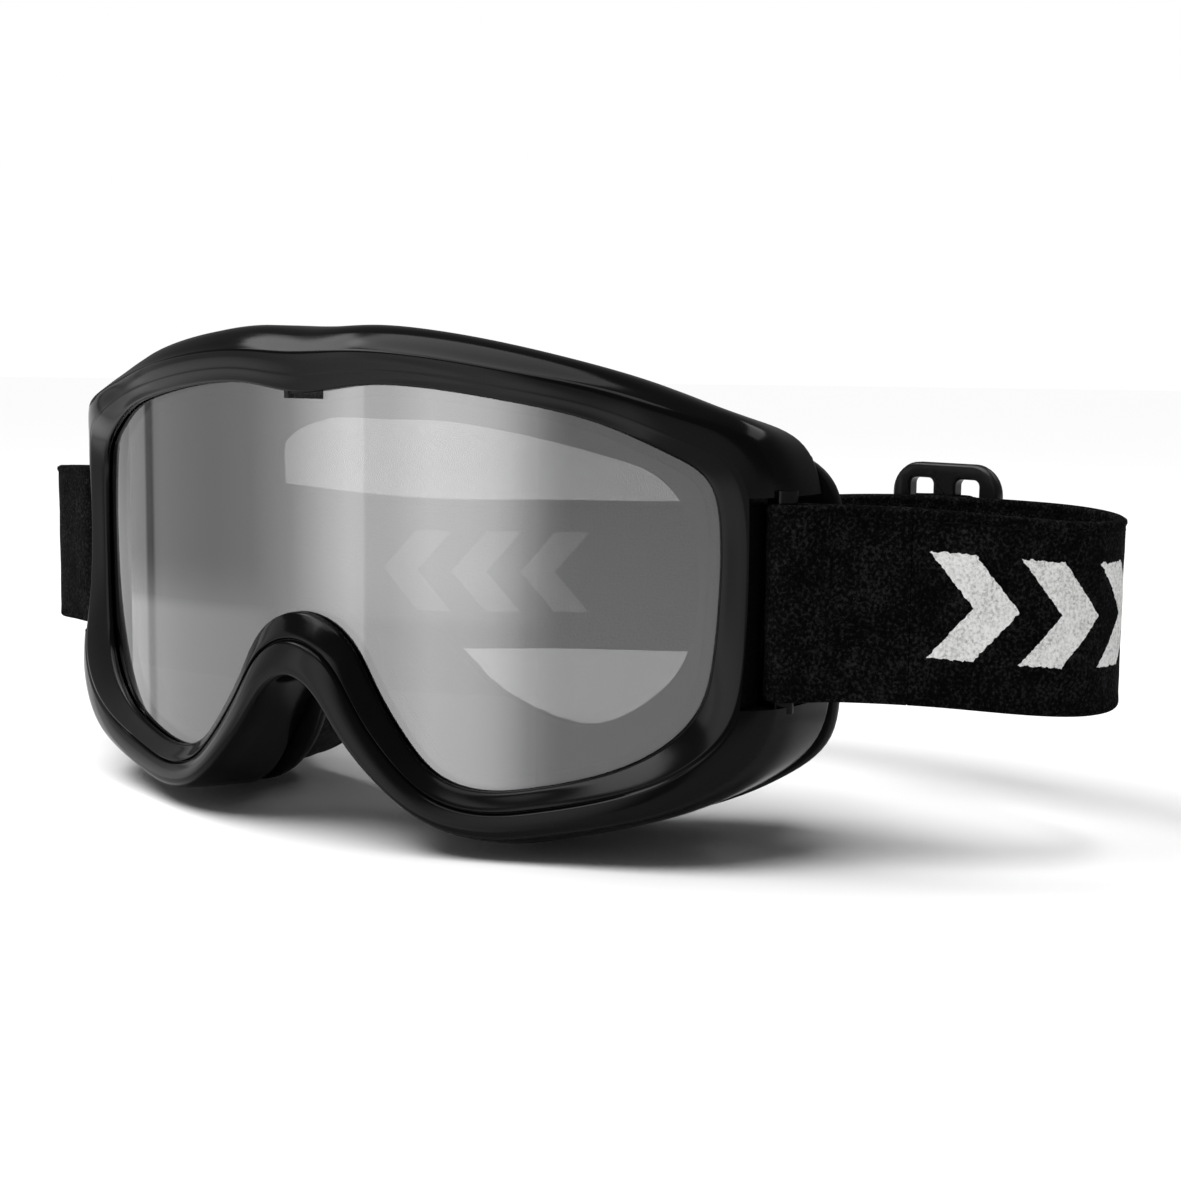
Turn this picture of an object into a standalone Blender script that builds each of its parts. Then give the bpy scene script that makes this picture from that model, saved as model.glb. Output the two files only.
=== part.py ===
"""Ski goggles: frame, double lens, face foam, elastic strap and slider.

Millimetres in the tables, metres in the scene. The front faces -Y, +Z is up, and X = 0 is the
symmetry plane. The origin is where a face meets the foam, at the height of the strap.
"""
import math

import bmesh
import bpy
import numpy as np
from mathutils import Vector

MM = 0.001
LENS_RADIUS = 146.0
LENS_FRONT_Y = -60.0
LENS_THICK = 1.3
LENS_EDGE = 1.8
INNER_LENS_FRONT = -4.7
INNER_LENS_THICK = 1.1
GASKET_FRONT = -1.6
GASKET_BACK = -4.4
LIP = 0.3
POCKET = 2.6
LEDGE_FRONT = -6.4
LEDGE_BACK = -7.6
WALL = 2.5
DOME_BACK = 6.0
GAP = 0.3
FLANGE_THICK = 2.2
FOAM_INSET = 3.0
TEMPLE_INSET = 9.2
FLEECE_THICK = 3.0
SLOT_HALF = 20.1
SLOT_INNER_X = 88.4
POST = (92.9, -28.4)
POST_LONG = 4.2
POST_THICK = 2.4
POST_HALF_HEIGHT = 21.6
STRAP_THICK = 1.5
STRAP_HALF = 19.0
SLIDER_LONG = 29.0
SLIDER_TALL = 52.4
SLIDER_THICK = 3.0
SLIDER_SLOT_LONG = 6.5
SLIDER_BAR = 6.0
SLIDER_SLOT_TALL = 45.4
STATIONS = 124

# Right half of the outline, from the top centre round to the middle of the nose arch.
# opening s, z | ridge s, z | crest height, ridge height, flare | rear edge y | foam depth
OUTLINE = [
    (0.0, 38.5, 0.0, 47.2, 3.0, 4.0, 5.0, -35.0, 13.0),
    (14.0, 40.0, 14.0, 47.6, 3.0, 4.0, 3.2, -34.5, 13.0),
    (26.0, 40.0, 27.0, 46.9, 3.0, 4.0, 2.0, -33.0, 13.0),
    (46.0, 37.5, 49.0, 43.6, 3.0, 4.0, 1.2, -29.0, 13.0),
    (64.0, 33.5, 68.0, 39.9, 3.2, 3.6, 0.0, -23.5, 13.0),
    (77.0, 28.0, 82.0, 35.8, 4.8, 5.2, -1.2, -17.0, 13.0),
    (84.5, 23.0, 93.5, 30.8, 4.6, 3.6, -0.8, -13.0, 13.0),
    (87.0, 14.0, 98.8, 19.0, 4.3, 1.5, 0.8, -11.0, 13.0),
    (87.0, 0.0, 99.8, 0.0, 4.3, 1.5, 1.6, -10.0, 13.0),
    (86.0, -12.0, 99.5, -16.5, 5.4, 3.8, 1.4, -11.0, 13.0),
    (84.0, -20.0, 96.0, -27.5, 6.6, 5.6, 1.6, -12.5, 13.0),
    (78.5, -27.0, 87.0, -36.0, 6.6, 6.2, 1.2, -16.5, 13.0),
    (66.0, -33.8, 70.5, -42.8, 5.0, 5.4, 1.6, -21.5, 13.0),
    (52.0, -37.4, 54.5, -46.4, 3.8, 4.2, 2.5, -27.5, 13.0),
    (40.0, -38.6, 41.5, -47.7, 4.0, 4.5, 4.2, -31.5, 14.0),
    (31.0, -36.0, 29.5, -44.6, 4.4, 5.4, 2.6, -36.0, 16.0),
    (24.2, -29.5, 18.5, -36.2, 4.8, 6.2, 0.0, -40.0, 18.0),
    (17.2, -19.6, 11.0, -27.6, 5.0, 6.5, -1.6, -42.0, 19.0),
    (11.4, -10.8, 6.0, -21.4, 5.0, 6.5, -1.8, -43.0, 19.0),
    (5.9, -7.0, 2.7, -19.2, 5.0, 6.5, -1.8, -43.0, 19.0),
    (0.0, -5.8, 0.0, -18.6, 5.0, 6.5, -1.8, -43.0, 19.0),
]
# The same stations on the face ring: outer x, z | eye opening x, z | dome of the outer band
FACE = [
    (0.0, 50.2, 0.0, 32.5, 4.6),
    (15.0, 49.6, 14.0, 32.5, 5.0),
    (28.0, 47.6, 26.0, 31.2, 4.8),
    (48.6, 43.4, 40.5, 28.4, 4.2),
    (66.4, 38.6, 51.5, 25.2, 2.8),
    (78.0, 32.0, 58.5, 20.4, 1.7),
    (89.6, 26.2, 61.8, 13.2, 0.6),
    (94.8, 18.0, 62.8, 5.0, 0.6),
    (95.2, 0.0, 62.8, -4.0, 0.6),
    (95.6, -16.5, 61.4, -13.0, 0.6),
    (94.6, -28.6, 58.5, -20.0, 0.8),
    (87.0, -36.8, 53.0, -26.0, 1.0),
    (71.5, -44.4, 46.0, -29.8, 1.2),
    (55.5, -49.2, 38.0, -31.2, 1.6),
    (41.5, -51.4, 31.0, -30.0, 1.6),
    (27.0, -46.4, 25.0, -27.5, 1.0),
    (16.5, -37.4, 19.0, -24.0, 0.4),
    (11.5, -29.0, 13.5, -19.5, 0.0),
    (7.5, -24.0, 8.8, -15.2, 0.0),
    (3.8, -21.2, 4.5, -12.4, 0.0),
    (0.0, -20.2, 0.0, -11.5, 0.0),
]
# Middle line of the strap seen from above, with the height of its centre: x, y, z.
STRAP_PATH = [
    (97.5, -26.0, 0.0),
    (107.0, -20.2, -0.2),
    (119.0, -13.2, -0.8),
    (133.0, -3.5, -2.2),
    (140.5, 6.0, -3.0),
    (142.5, 16.5, -3.2),
    (139.0, 28.0, -3.0),
    (129.0, 38.5, -2.6),
    (112.0, 46.5, -2.5),
    (89.0, 52.5, -2.8),
    (58.0, 60.0, -4.5),
    (20.0, 61.0, -8.0),
    (-11.0, 48.0, -8.5),
    (-34.0, 32.0, -8.5),
    (-62.0, 22.5, -7.0),
    (-90.0, 14.0, -4.5),
    (-110.5, -0.5, -2.6),
    (-115.2, -14.4, -1.4),
    (-107.8, -23.8, -0.5),
    (-98.0, -27.5, 0.0),
]
NEAR_SEAM = 18.5
SEAM_LONG = 1.6
SLIDER_AT = 134.0
SLIDER_LIFT = 4.5
TAIL_UNDER = 3.5
SLOT_TOP_VENT = (10.4, 37.3, 38.6)

for old in list(bpy.data.objects):
    bpy.data.objects.remove(old, do_unlink=True)

PARTS = bpy.data.collections.new("ski_goggles")
CUTTERS = bpy.data.collections.new("cutters")
bpy.context.scene.collection.children.link(PARTS)
bpy.context.scene.collection.children.link(CUTTERS)


def material(name, colour, rough, metal=0.0, clear=0.0):
    mat = bpy.data.materials.new(name)
    mat.use_nodes = True
    bsdf = mat.node_tree.nodes["Principled BSDF"]
    bsdf.inputs["Base Color"].default_value = (*colour, 1.0)
    bsdf.inputs["Roughness"].default_value = rough
    bsdf.inputs["Metallic"].default_value = metal
    bsdf.inputs["Transmission Weight"].default_value = clear
    return mat


def add_mesh(name, verts, faces, mat, home=PARTS):
    """A closed mesh object from millimetre coordinates, with its faces turned outward."""
    mesh = bpy.data.meshes.new(name)
    mesh.from_pydata([tuple(c * MM for c in v) for v in verts], [], faces)
    work = bmesh.new()
    work.from_mesh(mesh)
    bmesh.ops.recalc_face_normals(work, faces=work.faces)
    work.to_mesh(mesh)
    work.free()
    if mat:
        mesh.materials.append(mat)
    obj = bpy.data.objects.new(name, mesh)
    home.objects.link(obj)
    return obj


def cut(obj, cutter, how="DIFFERENCE"):
    mod = obj.modifiers.new(how.lower(), "BOOLEAN")
    mod.operation = how
    mod.solver = "EXACT"
    mod.object = cutter
    return mod


def hide(obj):
    obj.hide_render = True
    obj.display_type = "WIRE"
    return obj


def prism(name, ring, along, low, high, mat=None, home=CUTTERS):
    """A flat ring of points in one plane, pushed out along an axis between two values."""
    n = len(ring)
    if along == "Z":
        verts = [(a, b, low) for a, b in ring] + [(a, b, high) for a, b in ring]
    else:
        verts = [(a, low, b) for a, b in ring] + [(a, high, b) for a, b in ring]
    faces = [tuple(range(n)), tuple(range(n, 2 * n))]
    faces += [(i, (i + 1) % n, n + (i + 1) % n, n + i) for i in range(n)]
    return add_mesh(name, verts, faces, mat, home)


def closed_spline(rows, knots, count):
    """A periodic cubic through the rows, read at even steps of the knot length."""
    pts = np.array(rows, float)
    n = len(pts)
    step = np.diff(np.append(knots, 2 * knots[-1] - knots[-2]))
    step[-1] = np.linalg.norm(pts[0, :2] - pts[-1, :2])
    total = step.sum()
    t = np.concatenate([[0.0], np.cumsum(step)[:-1]])
    grid = np.zeros((n, n))
    right = np.zeros_like(pts)
    for i in range(n):
        before, after = step[i - 1], step[i]
        grid[i, i - 1] += before
        grid[i, i] += 2 * (before + after)
        grid[i, (i + 1) % n] += after
        right[i] = 6 * ((pts[(i + 1) % n] - pts[i]) / after - (pts[i] - pts[i - 1]) / before)
    bend = np.linalg.solve(grid, right)
    out = []
    for u in np.linspace(0, total, count, endpoint=False):
        i = min(int(np.searchsorted(t, u, side="right")) - 1, n - 1)
        h = step[i]
        a = t[i] + h - u
        b = u - t[i]
        j = (i + 1) % n
        out.append(
            bend[i] * a**3 / (6 * h) + bend[j] * b**3 / (6 * h)
            + (pts[i] / h - bend[i] * h / 6) * a + (pts[j] / h - bend[j] * h / 6) * b
        )
    return np.array(out)


def mirrored(rows, flips):
    left = []
    for row in rows[-2:0:-1]:
        left.append([-v if k in flips else v for k, v in enumerate(row)])
    return [list(r) for r in rows] + left


WHOLE = mirrored([o + f for o, f in zip(OUTLINE, FACE)], {0, 2, 9, 11})
CHORDS = [np.hypot(b[0] - a[0], b[1] - a[1]) for a, b in zip(WHOLE, WHOLE[1:])]
RING = closed_spline(WHOLE, np.concatenate([[0.0], np.cumsum(CHORDS)]), STATIONS)


def wrap(s, z, height):
    """A point at arc length s and height z on the lens cylinder, lifted off its face."""
    turn = s / LENS_RADIUS
    reach = LENS_RADIUS + height
    y = LENS_FRONT_Y + LENS_RADIUS - reach * math.cos(turn)
    return (reach * math.sin(turn), y, z)


def outward(row):
    way = row[2:4] - row[0:2]
    long = np.linalg.norm(way)
    return way / long, long


def on_lens(row, off, height):
    way, _ = outward(row)
    return wrap(row[0] + way[0] * off, row[1] + way[1] * off, height)


def band_point(row, inset, y=None):
    """A point on the outer band: at its rear edge, or at a given y."""
    way, _ = outward(row)
    ridge = wrap(row[2], row[3], row[5])
    slip = row[6] - inset
    return (ridge[0] + way[0] * slip, row[7] if y is None else y, ridge[2] + way[1] * slip)


def dome_point(row, inset=0.0):
    """The fullest part of the outer band, a little behind the ridge."""
    way, _ = outward(row)
    ridge = wrap(row[2], row[3], row[5])
    slip = row[13] - inset
    return (ridge[0] + way[0] * slip, ridge[1] + DOME_BACK, ridge[2] + way[1] * slip)


def loft(name, sections, mat):
    """A closed ring of matching closed sections."""
    n, m = len(sections), len(sections[0])
    verts = [p for sec in sections for p in sec]
    faces = []
    for i in range(n):
        j = (i + 1) % n
        for k in range(m):
            q = (k + 1) % m
            faces.append((i * m + k, j * m + k, j * m + q, i * m + q))
    return add_mesh(name, verts, faces, mat)


black = material("frame_black", (0.012, 0.012, 0.013), 0.22)
dark = material("flange_black", (0.02, 0.02, 0.021), 0.5)
smoke = material("lens_smoke", (0.32, 0.33, 0.34), 0.05, 0.0, 0.6)
clear = material("lens_clear", (0.85, 0.87, 0.88), 0.04, 0.0, 0.9)
seal = material("gasket_foam", (0.05, 0.05, 0.05), 0.9)
foam = material("face_foam_grey", (0.06, 0.06, 0.06), 0.95)
fleece = material("fleece_black", (0.03, 0.03, 0.03), 0.95)
knit = material("strap_knit", (0.03, 0.03, 0.032), 0.9)
thread = material("thread_black", (0.02, 0.02, 0.02), 0.8)
acetal = material("slider_black", (0.015, 0.015, 0.016), 0.35)

# Outer frame: lip, bezel, outer band and lens pocket in one closed section.
shell_sections = []
for row in RING:
    _, wide = outward(row)
    crest, ridge = row[4], row[5]
    shell_sections.append([
        on_lens(row, 0.0, LIP),
        on_lens(row, 0.0, 1.3),
        on_lens(row, wide * 0.25, crest * 0.72),
        on_lens(row, wide * 0.5, crest),
        on_lens(row, wide * 0.85, (ridge * 2 + crest) / 3 + 0.1),
        on_lens(row, wide, ridge - 0.6),
        dome_point(row),
        band_point(row, 0.3, row[7] - 1.0),
        band_point(row, 1.0),
        band_point(row, WALL),
        dome_point(row, WALL),
        on_lens(row, max(wide - WALL, 4.7), ridge - 3.4),
        on_lens(row, 4.1, -1.6),
        on_lens(row, 4.0, LEDGE_BACK),
        on_lens(row, -1.0, LEDGE_BACK),
        on_lens(row, -1.0, LEDGE_FRONT),
        on_lens(row, POCKET, LEDGE_FRONT),
        on_lens(row, POCKET, LIP),
    ])
shell = loft("frame_shell", shell_sections, black)
for side, tag in ((1, "near"), (-1, "far")):
    block = [(SLOT_INNER_X, -70), (120, -70), (120, 0), (SLOT_INNER_X, 0)]
    notch = hide(prism("notch_" + tag, [(side * x, y) for x, y in block], "Z",
                       -SLOT_HALF, SLOT_HALF))
    cut(shell, notch)
    lean = side * math.radians(38.0)
    along = Vector((math.cos(lean), math.sin(lean)))
    across = Vector((-along.y, along.x))
    centre = Vector((side * POST[0], POST[1]))
    corners = []
    for k in range(12):
        turn = 2 * math.pi * k / 12
        corners.append(tuple(centre + along * (POST_LONG / 2 * math.cos(turn))
                             + across * (POST_THICK / 2 * math.sin(turn))))
    post = hide(prism("post_" + tag, corners, "Z", -POST_HALF_HEIGHT, POST_HALF_HEIGHT))
    cut(shell, post, "UNION")

# Lenses: a slice of a cylinder trimmed by the opening's outline.


def lens(name, front, thick, edge, mat):
    across = np.linspace(-98, 98, 57)
    verts = []
    for height in (front, front - thick):
        for z in (-48.0, 48.0):
            verts += [wrap(s, z, height) for s in across]
    n = len(across)
    faces = []
    for i in range(n - 1):
        faces.append((i, i + 1, n + i + 1, n + i))
        faces.append((2 * n + i, 3 * n + i, 3 * n + i + 1, 2 * n + i + 1))
        faces.append((i, 2 * n + i, 2 * n + i + 1, i + 1))
        faces.append((n + i, n + i + 1, 3 * n + i + 1, 3 * n + i))
    for i in (0, n - 1):
        faces.append((i, n + i, 3 * n + i, 2 * n + i))
    sheet = add_mesh(name, verts, faces, mat)
    ring = [on_lens(row, edge, front - thick / 2) for row in RING]
    trim = hide(prism(name + "_trim", [(p[0], p[2]) for p in ring], "Y", -90, 20))
    cut(sheet, trim, "INTERSECT")
    return sheet


lens("lens_outer", 0.0, LENS_THICK, LENS_EDGE, smoke)
lens("lens_inner", INNER_LENS_FRONT, INNER_LENS_THICK, LENS_EDGE - 0.4, clear)
loft("lens_gasket", [[on_lens(row, -2.2, GASKET_FRONT), on_lens(row, 1.9, GASKET_FRONT),
                      on_lens(row, 1.9, GASKET_BACK), on_lens(row, -2.2, GASKET_BACK)]
                     for row in RING], seal)


def between(row, share, y, inset=0.0):
    """A point across the face ring: share 0 at its outer edge, 1 at the eye opening."""
    outer, inner = row[9:11], row[11:13]
    way = inner - outer
    long = np.linalg.norm(way)
    at = outer + way * share + way / long * inset
    return (at[0], y, at[1])


# Face flange: a funnel from the lens pocket to a flat-bottomed ring for the foam.
flange_sections = []
for row in RING:
    front = row[7] + 4 * GAP
    root = 0.62 + 0.26 * (row[8] - 13.0) / 6.0
    flange_sections.append([
        on_lens(row, 1.2, LEDGE_BACK - GAP),
        on_lens(row, -0.9, LEDGE_BACK - GAP),
        between(row, 1.0, front),
        between(row, 1.0, front + FLANGE_THICK, -0.4),
        between(row, 0.0, front + FLANGE_THICK),
        between(row, 0.0, front),
        between(row, root, front),
    ])
loft("face_flange", flange_sections, dark)


def foam_edge(row):
    """How far the foam stands in from the flange's rim: more at the temples."""
    share = min(max((abs(row[9]) - 84.0) / 11.0, 0.0), 1.0)
    return FOAM_INSET + TEMPLE_INSET * share * share * (3 - 2 * share)


foam_sections = []
fleece_sections = []
for row in RING:
    edge = foam_edge(row)
    start = row[7] + FLANGE_THICK + 5 * GAP
    end = start + row[8]
    far = end + 3 * GAP
    foam_sections.append([
        between(row, 0.0, start, edge),
        between(row, 0.0, end, edge + 1.4),
        between(row, 1.0, end, -2.2),
        between(row, 1.0, start, -1.2),
    ])
    fleece_sections.append([
        between(row, 0.0, far, edge + 1.4),
        between(row, 0.0, far + FLEECE_THICK * 0.6, edge + 1.8),
        between(row, 0.0, far + FLEECE_THICK, edge + 3.4),
        between(row, 1.0, far + FLEECE_THICK, -4.2),
        between(row, 1.0, far + FLEECE_THICK * 0.6, -2.6),
        between(row, 1.0, far, -2.2),
    ])
loft("face_foam", foam_sections, foam)
loft("face_fleece", fleece_sections, fleece)


# Strap: a smooth line through the path points, read by length.


def open_spline(points, count):
    pts = np.array(points, float)
    step = np.sqrt(((pts[1:] - pts[:-1]) ** 2).sum(1))
    t = np.concatenate([[0.0], np.cumsum(step)])
    n = len(pts)
    grid = np.eye(n)
    right = np.zeros_like(pts)
    for i in range(1, n - 1):
        grid[i, i - 1:i + 2] = step[i - 1], 2 * (step[i - 1] + step[i]), step[i]
        right[i] = 6 * ((pts[i + 1] - pts[i]) / step[i] - (pts[i] - pts[i - 1]) / step[i - 1])
    bend = np.linalg.solve(grid, right)
    out = []
    for u in np.linspace(0, t[-1], count):
        i = min(max(int(np.searchsorted(t, u, side="right")) - 1, 0), n - 2)
        h, a, b = step[i], t[i + 1] - u, u - t[i]
        out.append(bend[i] * a**3 / (6 * h) + bend[i + 1] * b**3 / (6 * h)
                   + (pts[i] / h - bend[i] * h / 6) * a
                   + (pts[i + 1] / h - bend[i + 1] * h / 6) * b)
    return np.array(out)


LINE = open_spline(STRAP_PATH, 800)
RUN = np.concatenate([[0.0], np.cumsum(np.linalg.norm(np.diff(LINE, axis=0), axis=1))])
TOTAL = RUN[-1]


def strap_at(length, off=0.0):
    """The strap's middle line at a length, moved sideways: a plus offset is outside the loop."""
    at = np.array([np.interp(length, RUN, LINE[:, k]) for k in range(3)])
    ahead = np.array([np.interp(length + 0.6, RUN, LINE[:, k]) for k in range(2)])
    behind = np.array([np.interp(length - 0.6, RUN, LINE[:, k]) for k in range(2)])
    way = (ahead - behind) / np.linalg.norm(ahead - behind)
    return np.array([at[0] + way[1] * off, at[1] - way[0] * off, at[2]])


def ribbon(name, middle, mat, thick=STRAP_THICK, half=STRAP_HALF):
    """A flat band of even thickness standing on edge along an open line."""
    pts = np.array(middle, float)
    way = np.gradient(pts[:, :2], axis=0)
    way /= np.linalg.norm(way, axis=1)[:, None]
    side = np.stack([way[:, 1], -way[:, 0]], axis=1) * thick / 2
    verts = []
    for p, s in zip(pts, side):
        verts += [(p[0] + s[0], p[1] + s[1], p[2] - half), (p[0] + s[0], p[1] + s[1], p[2] + half),
                  (p[0] - s[0], p[1] - s[1], p[2] + half), (p[0] - s[0], p[1] - s[1], p[2] - half)]
    n = len(pts)
    faces = [(0, 1, 2, 3), tuple(4 * n - 4 + k for k in (3, 2, 1, 0))]
    for i in range(n - 1):
        for k in range(4):
            q = (k + 1) % 4
            faces.append((i * 4 + k, i * 4 + q, i * 4 + 4 + q, i * 4 + 4 + k))
    return add_mesh(name, verts, faces, mat)


PLY = STRAP_THICK + GAP


def fold(side, end, inner_off, outer_off):
    """Points of a loop round the post: in along the inner ply, round, and out along the outer."""
    centre = np.array([side * POST[0], POST[1]])
    reads = np.linspace(end, 2.5, 6)
    if side < 0:
        reads = TOTAL - reads
    lead = [strap_at(u, inner_off) for u in reads]
    back = [strap_at(u, outer_off) for u in reads[::-1]]
    a, b = lead[-1][:2] - centre, back[0][:2] - centre
    start = math.atan2(a[1], a[0])
    stop = math.atan2(b[1], b[0])
    if side > 0:
        stop += 2 * math.pi if stop < start else 0.0
    else:
        start += 2 * math.pi if start < 0 else 0.0
        stop -= 2 * math.pi if stop > start else 0.0
    reach = POST_LONG / 2 + GAP + STRAP_THICK / 2 + 0.2
    turn = []
    for share in np.linspace(0.14, 0.86, 11):
        ang = start + (stop - start) * share
        turn.append(np.array([centre[0] + reach * math.cos(ang),
                              centre[1] + reach * math.sin(ang), 0.0]))
    return lead + turn + back


def run(first, last, off, step=6.0):
    count = max(int(abs(last - first) / step), 1) + 1
    return [strap_at(u, off) for u in np.linspace(first, last, count)]


def seam(name, first, inner_off):
    """The sewn bar across both plies."""
    middle = run(first, first + SEAM_LONG, (inner_off + inner_off + PLY) / 2, 1.0)
    return ribbon(name, middle, thread, STRAP_THICK * 2 + GAP, STRAP_HALF)


END_SEAM = TOTAL - NEAR_SEAM - SEAM_LONG
ribbon("strap_loop_near", fold(1, NEAR_SEAM - GAP, -PLY, 0.0), knit)
seam("strap_seam_near", NEAR_SEAM, -PLY)
ribbon("strap_main", run(NEAR_SEAM + SEAM_LONG + GAP, END_SEAM - 2 * GAP, 0.0), knit)
ribbon("strap_adjuster", run(SLIDER_AT - TAIL_UNDER, END_SEAM - 2 * GAP, PLY), knit)
seam("strap_seam_far", END_SEAM, 0.0)
ribbon("strap_loop_far", fold(-1, NEAR_SEAM - GAP, 0.0, PLY), knit)

# Slider: a three-bar plate, standing off the strap on the outside of the loop.
AT = strap_at(SLIDER_AT, 0.0)
WAY = strap_at(SLIDER_AT + 8.0) - strap_at(SLIDER_AT - 8.0)
WAY[2] = 0.0
WAY /= np.linalg.norm(WAY)
OUT = np.array([WAY[1], -WAY[0], 0.0])


def on_slider(along, off, z):
    p = AT + WAY * along + OUT * off
    return (p[0], p[1], p[2] + z)


def rounded(half_long, half_tall, radius):
    ring = []
    for quarter, (sx, sz) in enumerate(((1, 1), (-1, 1), (-1, -1), (1, -1))):
        for k in range(6):
            turn = math.pi / 2 * (quarter + k / 5)
            ring.append((sx * (half_long - radius) + radius * math.cos(turn),
                         sz * (half_tall - radius) + radius * math.sin(turn)))
    return ring


def plate(name, ring, low, high, mat, home):
    n = len(ring)
    verts = [on_slider(a, low, z) for a, z in ring] + [on_slider(a, high, z) for a, z in ring]
    faces = [tuple(range(n)), tuple(range(n, 2 * n))]
    faces += [(i, (i + 1) % n, n + (i + 1) % n, n + i) for i in range(n)]
    return add_mesh(name, verts, faces, mat, home)


half = SLIDER_THICK / 2
slider = plate("slider_buckle", rounded(SLIDER_LONG / 2, SLIDER_TALL / 2, 7.0),
               SLIDER_LIFT - half, SLIDER_LIFT + half, acetal, PARTS)
for tag, sign in (("a", -1), ("b", 1)):
    middle = sign * (SLIDER_BAR + SLIDER_SLOT_LONG) / 2
    ring = [(middle + a, z) for a, z in rounded(SLIDER_SLOT_LONG / 2, SLIDER_SLOT_TALL / 2, 1.5)]
    cut(slider, hide(plate("slider_slot_" + tag, ring, 0.0, 9.0, None, CUTTERS)))

# The ply that climbs through one slot, over the middle bar and down through the other.
TOP = SLIDER_LIFT + half + GAP + STRAP_THICK / 2
LOW = STRAP_THICK / 2 + GAP + STRAP_THICK / 2
HUMP = [(-8.1, LOW + PLY + 0.1), (-6.6, SLIDER_LIFT), (-4.6, TOP - 0.4), (-2.4, TOP), (2.4, TOP),
        (4.6, TOP - 0.4), (6.6, SLIDER_LIFT), (8.1, LOW + PLY + 0.1)]
ribbon("strap_hump", [on_slider(a, o, 0.0) for a, o in HUMP], knit)

slot_wide, slot_low, slot_high = SLOT_TOP_VENT
vent = [(-slot_wide / 2, slot_low), (slot_wide / 2, slot_low),
        (slot_wide / 2, slot_high + 3), (-slot_wide / 2, slot_high + 3)]
cut(bpy.data.objects["lens_outer"], hide(prism("lens_vent", vent, "Y", -66, -50)))
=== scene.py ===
"""Ski goggles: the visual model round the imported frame. Lengths in the tables are millimetres."""

import math

import bmesh
import bpy
import numpy as np
from mathutils import Matrix, Vector


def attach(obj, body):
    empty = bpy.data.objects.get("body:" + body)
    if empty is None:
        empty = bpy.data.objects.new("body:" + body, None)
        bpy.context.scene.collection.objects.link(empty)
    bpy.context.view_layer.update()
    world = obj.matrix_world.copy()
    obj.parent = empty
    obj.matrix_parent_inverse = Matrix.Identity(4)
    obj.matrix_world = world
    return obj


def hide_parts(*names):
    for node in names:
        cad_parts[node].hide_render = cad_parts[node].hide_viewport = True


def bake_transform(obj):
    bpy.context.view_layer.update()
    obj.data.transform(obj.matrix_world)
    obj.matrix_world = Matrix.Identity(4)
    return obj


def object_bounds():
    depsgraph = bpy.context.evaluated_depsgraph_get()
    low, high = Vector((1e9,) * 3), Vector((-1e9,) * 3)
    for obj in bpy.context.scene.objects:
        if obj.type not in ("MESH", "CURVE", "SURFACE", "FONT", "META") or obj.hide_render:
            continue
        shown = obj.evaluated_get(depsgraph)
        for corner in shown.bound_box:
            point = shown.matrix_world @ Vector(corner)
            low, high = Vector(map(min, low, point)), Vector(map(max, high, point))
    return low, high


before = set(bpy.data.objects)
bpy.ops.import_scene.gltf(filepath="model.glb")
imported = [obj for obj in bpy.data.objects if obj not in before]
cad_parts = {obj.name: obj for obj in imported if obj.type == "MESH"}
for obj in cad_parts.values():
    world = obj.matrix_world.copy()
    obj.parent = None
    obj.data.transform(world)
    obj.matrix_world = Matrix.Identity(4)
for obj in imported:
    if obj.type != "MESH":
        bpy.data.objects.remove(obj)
CAD_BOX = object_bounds()

MM = 0.001
LENS_RADIUS = 146.0
LENS_FRONT_Y = -60.0
STATIONS = 372
STRAP_THICK = 1.5
PLY = 1.8
POST = (92.9, -28.4)
NEAR_SEAM = 18.5
SEAM_LONG = 1.6
SLIDER_AT = 134.0
TAIL_UNDER = 3.5
GAP = 0.3
FLANGE_GAP = 4 * GAP
FLANGE_THICK = 2.2
FOAM_GAP = GAP
FLEECE_GAP = 0.35
SLOT_INNER_X = 88.4
SLOT_HALF = 20.1
POST_HALF = 21.4
POST_RADII = (2.1, 1.2)
POST_LEAN = 38.0
VENT_HALF = 5.2
VENT_LOW = 37.3
SLIDER_HALF = (14.5, 26.2)
SLIDER_CORNER = 7.0
SLIDER_SLOT_AT = 6.25
SLIDER_SLOT_HALF = (3.25, 22.7)
STITCH_V = 16.7

# Places of the later values in a station's row, once OUTLINE and FACE are joined.
REAR, DEPTH, GROOVE, DOME = 7, 8, 13, 14

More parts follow.
